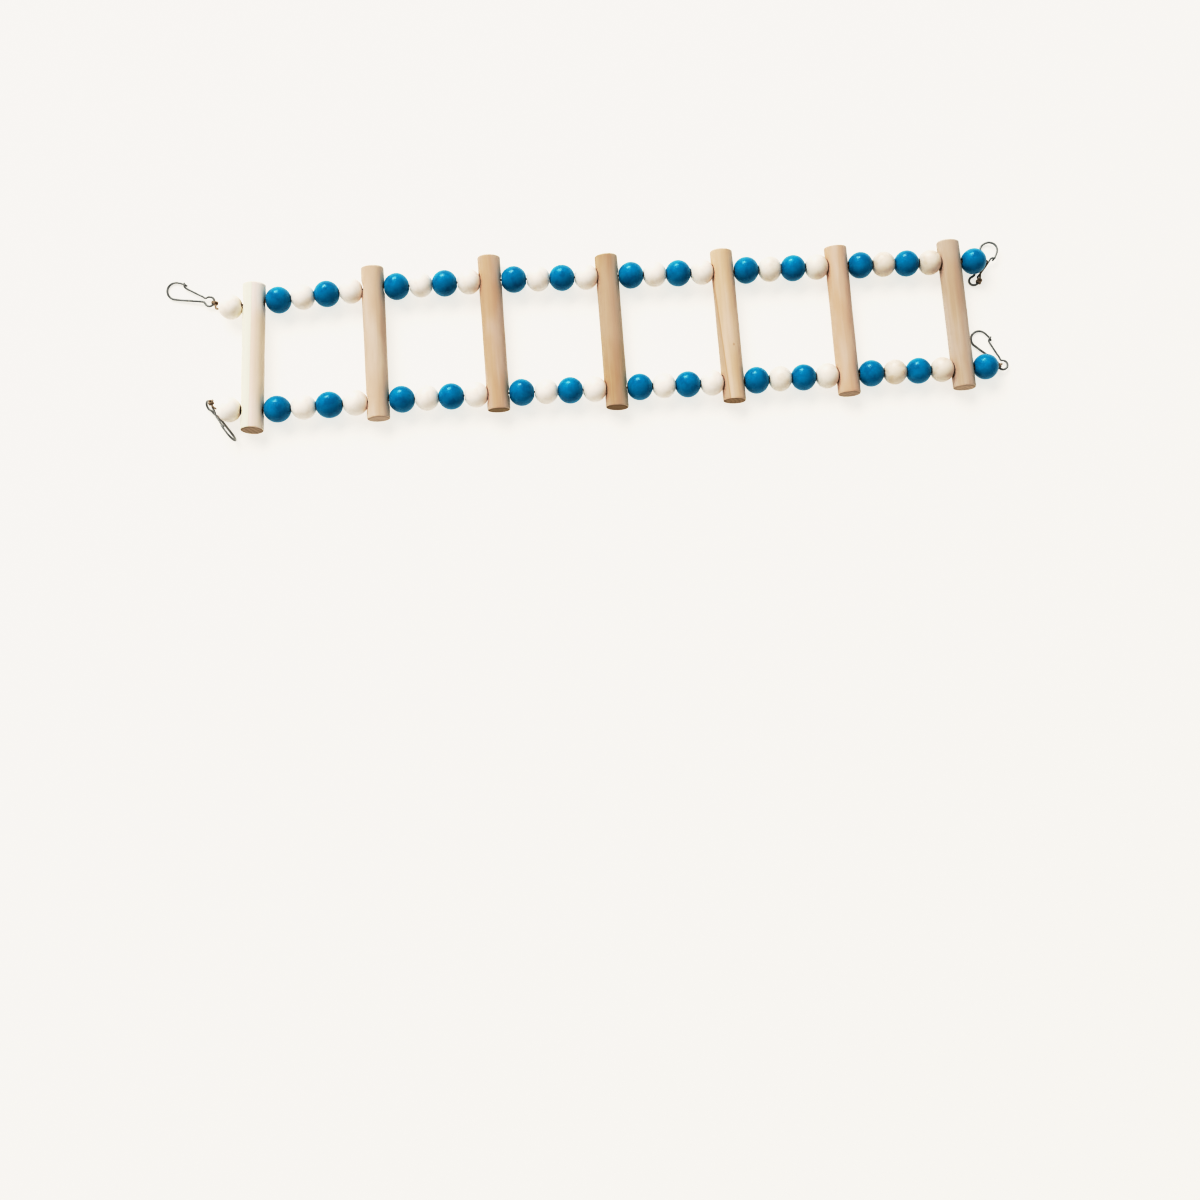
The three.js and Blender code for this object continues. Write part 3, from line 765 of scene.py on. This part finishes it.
for which in ("upper", "lower"):
    string = f"{which}_string"
    for bay in range(1, 7):
        a, b = hole(RUNGS[bay - 1], which), hole(RUNGS[bay], which)
        length = np.linalg.norm(b - a)
        along = (b - a) / length
        turn = math.atan2(along[1], along[0])
        sunk, scale = spread(length, [math.degrees(turn) - RUNGS[q][2] for q in (bay - 1, bay)])
        blue, white = BLUE[1] * scale, WHITE[1] * scale
        first = f"bay_{bay}_near" if bay >= 4 else f"bay_{bay}_far"
        last = f"bay_{bay}_far" if bay >= 4 else f"bay_{bay}_near"
        middle = f"bay_{bay}_{which}"
        x1 = RUNG_RADIUS - sunk[0] + blue / 2
        x2 = x1 + blue / 2 + GAP + white / 2
        x3 = x2 + white / 2 + MIDDLE_GAP + blue / 2
        x4 = length - RUNG_RADIUS + sunk[1] - white / 2
        base = f"{which}_bay_{bay}"
        bead(f"{base}_bead_1_blue_turned", f"{base}_bead_1_blue", first, True, BLUE[0], blue, a + along * x1, turn, 0.012)
        bead(f"{base}_bead_2_white_turned", f"{base}_beads_2_3_white_blue", middle, False, WHITE[0], white, a + along * x2, turn, 0.012, bay=bay)
        bead(f"{base}_bead_3_blue_turned", f"{base}_beads_2_3_white_blue", middle, True, BLUE[0] - 0.12, blue, a + along * x3, turn, 0.012)
        bead(f"{base}_bead_4_white_turned", f"{base}_bead_4_white", last, False, WHITE[0], white, a + along * x4, turn, 0.012, bay=bay)
        # the string, in lengths from the middle of one piece to the middle of the next
        s1, s2, s3 = x1, (x2 + x3) / 2, x4
        left, right = x1 + blue / 2 + GAP / 2, x4 - white / 2 - GAP / 2
        run = lambda s, e: [a + along * q for q in np.linspace(s, e, max(4, int((e - s) / 0.6)))]
        ph = bay * 1.3 + (0.7 if which == "lower" else 0.0)
        turns = lambda s: ph + 2 * math.pi * s / 3.4
        thread(f"{base}_string_a", string, run(-0.6, s1), (f"rung_{bay}", first), (a + along * 0.5, a + along * 10.5), turns(-0.6))
        pair = (lambda n, s, e, one, two, at: thread(f"{base}_string_{n}", string, run(s, e), (one, two), (a + along * (at - 3), a + along * (at + 3)), turns(s)))
        split = (lambda n, s, e, one, two, at: (
            thread(f"{base}_string_{n}1", string, run(s, at + 0.3), one, None, turns(s)),
            thread(f"{base}_string_{n}2", string, run(at - 0.3, e), two, None, turns(at - 0.3))))
        # the far bead of the lower row meets its neighbour at a gap, with no joint of their own
        (split if which == "lower" and first.endswith("far") else pair)("b", s1, s2, first, middle, left)
        (split if which == "lower" and last.endswith("far") else pair)("c", s2, s3, middle, last, right)
        thread(f"{base}_string_d", string, run(s3, length + 0.6), (last, f"rung_{bay + 1}"), (b - along * 10.5, b - along * 0.5), turns(s3))


# ---- hooks, and how the strings hold them ----
def arc(cu, cv, r, start, stop, steps):
    a = np.radians(np.linspace(start, stop, steps + 1))
    return [(cu + r * math.cos(q), cv + r * math.sin(q)) for q in a]


FRAME_PATH = (
    arc(0, 0, EYE_RADIUS, 60, 318, 11)
    + [(3.3, -1.35), (5.2, -1.65), (10.0, -2.75), (15.2, -4.05)]
    + arc(BOW_U, 0, BOW_RADIUS, -108, 80, 12)
    + [(20.2, 5.4), (18.2, 5.4), (16.3, 5.0)]
)


class HookFrame:
    def __init__(self, eye, heading, slope, roll, hold, twist=0.0):
        h, s, r = math.radians(heading), math.radians(slope), math.radians(roll)
        self.eye = vec(*eye)
        self.u = vec(math.cos(h) * math.cos(s), math.sin(h) * math.cos(s), -math.sin(s))
        flat = vec(math.sin(h), -math.cos(h), 0)
        up = np.cross(flat, self.u)
        self.v = flat * math.cos(r) + up * math.sin(r)
        self.w = np.cross(self.v, self.u)
        self.hold = math.radians(hold)
        self.twist = math.radians(twist)
        self.across = self.v * math.cos(self.twist) + self.w * math.sin(self.twist)  # the eye's own width

    def point(self, a, b, c=0.0):
        """A point of the hook: along it, across it and out of its plane. The eye may be twisted out of the bow's plane."""
        t = min(1.0, max(0.0, (a - 3.0) / 6.0))
        q = self.twist * (1 - t * t * (3 - 2 * t))
        v = self.v * math.cos(q) + self.w * math.sin(q)
        w = self.w * math.cos(q) - self.v * math.sin(q)
        return self.eye + self.u * a + v * b + w * c


for corner, facts in HOOKS.items():
    which, side = corner.split("_")
    rung = RUNGS[0] if side == "left" else RUNGS[6]
    body = "rung_1" if side == "left" else "rung_7"
    kind = WHITE if side == "left" else END_BLUE
    colour = "white" if side == "left" else "blue"
    string = f"{which}_string"
    ang = math.radians(END_DIRECTION[corner])
    rise = math.radians(END_RISE[corner])
    out = vec(math.cos(ang) * math.cos(rise), math.sin(ang) * math.cos(rise), math.sin(rise))
    start = hole(rung, which)
    bead(f"{corner}_end_bead_{colour}_turned", f"{corner}_end_bead_{colour}", f"{corner}_end_bead", side == "right", kind[0], kind[1],
         start + out * (RUNG_RADIUS + END_GAP[corner] + kind[1] / 2), ang, 0.01, rise)
    h = HookFrame(**facts)
    # bent wire: eye, leg and bow in one piece
    p = spline([h.point(a, b) for a, b in FRAME_PATH], 0.25)
    far = np.linspace(1, 0, len(p)) * 0.25 * len(p)  # millimetres from the bow's end, where the wire is filed thinner for the gate
    v, f = tube(p, WIRE_RADIUS + 0.09 * np.clip((far - 7.0) / 4.0, 0, 1), 16, True, h.w)
    ob = make(f"{corner}_hook_wire", v, f, STEEL, in_row=True)
    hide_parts(f"{corner}_hook")
    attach(ob, f"{corner}_hook")
    # the gate springs from the eye's wire, and its bent tip rests on the bow's end
    gate = [h.point(EYE_RADIUS * math.cos(math.radians(q)), EYE_RADIUS * math.sin(math.radians(q))) for q in (66, 54, 43)]
    gate += [h.point(*q) for q in ((2.75, 1.32), (3.6, 1.2), (5.0, 1.6), (8.2, 2.05), (12.9, 2.85), (15.4, 3.22), (16.7, 3.5, 0.2), (17.3, 3.95, 0.7), (17.6, 4.6, 1.1), (17.8, 5.4, 1.22), (18.0, 6.0, 1.0))]
    p = spline(gate, 0.22)
    v, f = tube(p, WIRE_RADIUS * 0.97, 14, True, h.w)
    ob = make(f"{corner}_gate_wire", v, f, STEEL, in_row=True)
    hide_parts(f"{corner}_hook_gate")
    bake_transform(ob)
    # string: through the end bead to the knot, twice round the eye, and a short cut end
    held = h.point(EYE_RADIUS * math.cos(h.hold), EYE_RADIUS * math.sin(h.hold))
    e3 = unit(-h.u * math.sin(h.hold) + h.across * math.cos(h.hold))
    mouth = start + out * (RUNG_RADIUS + END_GAP[corner] + kind[1] + 0.6)
    via = [vec(*q) for q in VIA.get(corner, [])]
    e1 = mouth + out * 1.2 - held
    e1 = unit(e1 - e3 * np.dot(e1, e3))
    e2 = np.cross(e3, e1)
    at = lambda a, b, c: held + e1 * a + e2 * b + e3 * c
    knot = at(KNOT_OFF, 0, 0)
    t = np.linspace(0, 1, 16)[:, None]
    bez = (1 - t) ** 3 * mouth + 3 * t * (1 - t) ** 2 * (mouth + out * 2.6) + 3 * t * t * (1 - t) * (knot + e1 * 2.2) + t ** 3 * knot
    if via:
        bez = spline([mouth - out * 0.4, mouth + out * 0.2] + via + [knot + e1 * 0.9, knot], 0.4)
    p = even(np.vstack([[start - out * 0.6], bez]), 0.45)
    parts = [cord(p)]
    helix = [at(1.75 + 0.78 * q / (2 * math.pi), 0.82 * math.cos(q), 0.82 * math.sin(q)) for q in np.linspace(0.4, 0.4 + 5.6 * math.pi, 40)]
    tip = helix[-1]
    go = unit(helix[-1] - helix[-2])
    down = vec(0, 0, -1)
    tag = [tip + go * 0.5 + e1 * 0.1, tip + go * 1.0 + e1 * 0.25 + down * 0.15, tip + go * 1.5 + e1 * 0.35 + down * 0.35]
    parts.append(cord(spline(helix + tag, 0.25), radius=0.5, fray=True))
    thread(f"{corner}_string_end", string, None, body, parts=join(*parts))
    loop = [at(2.5, 0.25, -0.75), at(1.75, 0.75, -0.72)]
    for q in np.linspace(50, 670, 34):
        c = -0.62 + 1.24 * (q - 50) / 620
        loop.append(at(1.3 * math.cos(math.radians(q)), 1.3 * math.sin(math.radians(q)), c))
    loop += [at(1.75, -0.75, 0.72), at(2.5, -0.25, 0.75)]
    thread(f"{corner}_string_loop", string, None, (body, f"{corner}_hook"), (at(1.9, 0, 0), at(0.1, 0, 0)),
           parts=cord(spline(loop, 0.25), radius=0.52))


# ---- floor, light and camera ----
look = Look("floor_paper", Specular_IOR_Level=0.15)
tex = look.noise(look.mm(), (60.0, 60.0, 60.0), 3.0)
fine = look.noise(look.mm(), (1.2, 1.2, 1.2), 2.0)
look.set("Base Color", look.mix(tex, lin("BDBAB5"), lin("C0BEB9")))
look.set("Roughness", look.math("MULTIPLY_ADD", fine, 0.1, 0.8))
look.shader.inputs["Emission Color"].default_value = (1.0, 0.968, 0.91, 1.0)  # a paper table lit a little from below
look.shader.inputs["Emission Strength"].default_value = 0.58
size = 6.0
me = bpy.data.meshes.new("floor")
me.from_pydata([(-size, -size, -0.0002), (size, -size, -0.0002), (size, size, -0.0002), (-size, size, -0.0002)], [], [(0, 1, 2, 3)])
me.materials.append(look.material)
floor = bpy.data.objects.new("floor", me)
bpy.context.scene.collection.objects.link(floor)

# a pale backdrop all round, which is seen and gives no light
look = Look("backdrop_paper", Specular_IOR_Level=0.0)
look.set("Base Color", (0.0, 0.0, 0.0, 1.0))
look.set("Roughness", 1.0)
look.set("Emission Color", look.mix(look.noise(look.mm(), (900.0, 900.0, 900.0), 2.0), (1.0, 0.945, 0.87, 1.0), (1.0, 0.955, 0.885, 1.0)))
look.shader.inputs["Emission Strength"].default_value = 0.98
dome, round_about = [], 64
for up in (-2, 4, 10, 18, 28, 40, 54, 70, 84):
    for q in range(round_about):
        turn, e = 2 * math.pi * q / round_about, math.radians(up)
        dome.append((5.95 * math.cos(e) * math.cos(turn), 5.95 * math.cos(e) * math.sin(turn), 5.95 * math.sin(e)))
sides = [(i * round_about + q, (i + 1) * round_about + q, (i + 1) * round_about + (q + 1) % round_about, i * round_about + (q + 1) % round_about)
         for i in range(8) for q in range(round_about)]
me = bpy.data.meshes.new("backdrop")
me.from_pydata(dome, [], sides + [tuple(range(8 * round_about, 9 * round_about))])
me.materials.append(look.material)
backdrop = bpy.data.objects.new("backdrop", me)
backdrop.visible_diffuse = backdrop.visible_glossy = backdrop.visible_shadow = False
backdrop.visible_transmission = backdrop.visible_volume_scatter = False
bpy.context.scene.collection.objects.link(backdrop)


def lamp(name, at, toward, wide, high, power, colour):
    data = bpy.data.lights.new(name, "AREA")
    data.shape = "RECTANGLE"
    data.size, data.size_y = wide, high
    data.energy = power
    data.color = colour
    ob = bpy.data.objects.new(name, data)
    ob.location = at
    ob.rotation_euler = (Vector(toward) - Vector(at)).to_track_quat("-Z", "Y").to_euler()
    bpy.context.scene.collection.objects.link(ob)
    return ob


window = lamp("window", (-1.3, 4.7, 2.4), (0, 0, 0), 2.4, 1.8, 138.0, (1.0, 0.99, 0.975))
window.visible_diffuse = False  # it shows in the paint and the wire, and the key gives the light
key = lamp("key", (-1.9, 3.2, 3.7), (0, 0, 0), 4.2, 2.6, 274.0, (1.0, 0.99, 0.97))
key.visible_glossy = False  # a diffused light that leaves no second highlight

world = bpy.data.worlds.new("studio")
world.use_nodes = True
back = world.node_tree.nodes["Background"]
back.inputs["Color"].default_value = (1.0, 0.985, 0.955, 1.0)
back.inputs["Strength"].default_value = 0.4
bpy.context.scene.world = world

view = bpy.data.cameras.new("camera")
view.sensor_width = 36.0
view.lens = 45.0
view.clip_start, view.clip_end = 0.01, 50.0
cam = bpy.data.objects.new("camera", view)
ahead = Vector((0.059222, 0.091478, -0.994045)).normalized()
right = ahead.cross(Vector((0.076028, 0.997106, 0.0))).normalized()
above = right.cross(ahead)
m = Matrix.Identity(4)
for i in range(3):
    m[i][0], m[i][1], m[i][2] = right[i], above[i], -ahead[i]
m.translation = Vector((-0.061608, -0.244017, 0.897235))
cam.matrix_world = m
bpy.context.scene.collection.objects.link(cam)
bpy.context.scene.camera = cam

settings = bpy.context.scene.view_settings
settings.view_transform = "Standard"
settings.look = "None"
settings.exposure = 0.0
settings.gamma = 1.0
# a camera's own tone: soft and a little warm at the white end, deeper in the darks
settings.use_curve_mapping = True
tone = settings.curve_mapping
tone.use_clip = False
whole = [(0.0, 0.0), (0.03, 0.004), (0.07, 0.018), (0.12, 0.05), (0.2, 0.14), (0.3, 0.3), (0.4, 0.495), (0.5, 0.635), (0.6, 0.73), (0.75, 0.83), (0.9, 0.898), (1.1, 0.95), (1.5, 0.985)]
green = [(0.0, 0.0), (0.35, 0.35), (0.7, 0.695), (0.85, 0.828), (1.0, 0.945)]
blue = [(0.0, 0.0), (0.35, 0.35), (0.7, 0.68), (0.85, 0.79), (1.0, 0.88)]
for curve, stops in ((tone.curves[3], whole), (tone.curves[1], green), (tone.curves[2], blue)):
    while len(curve.points) < len(stops):
        curve.points.new(0.5, 0.5)
    for point, (x, y) in zip(curve.points, stops):
        point.location = (x, y)
tone.update()
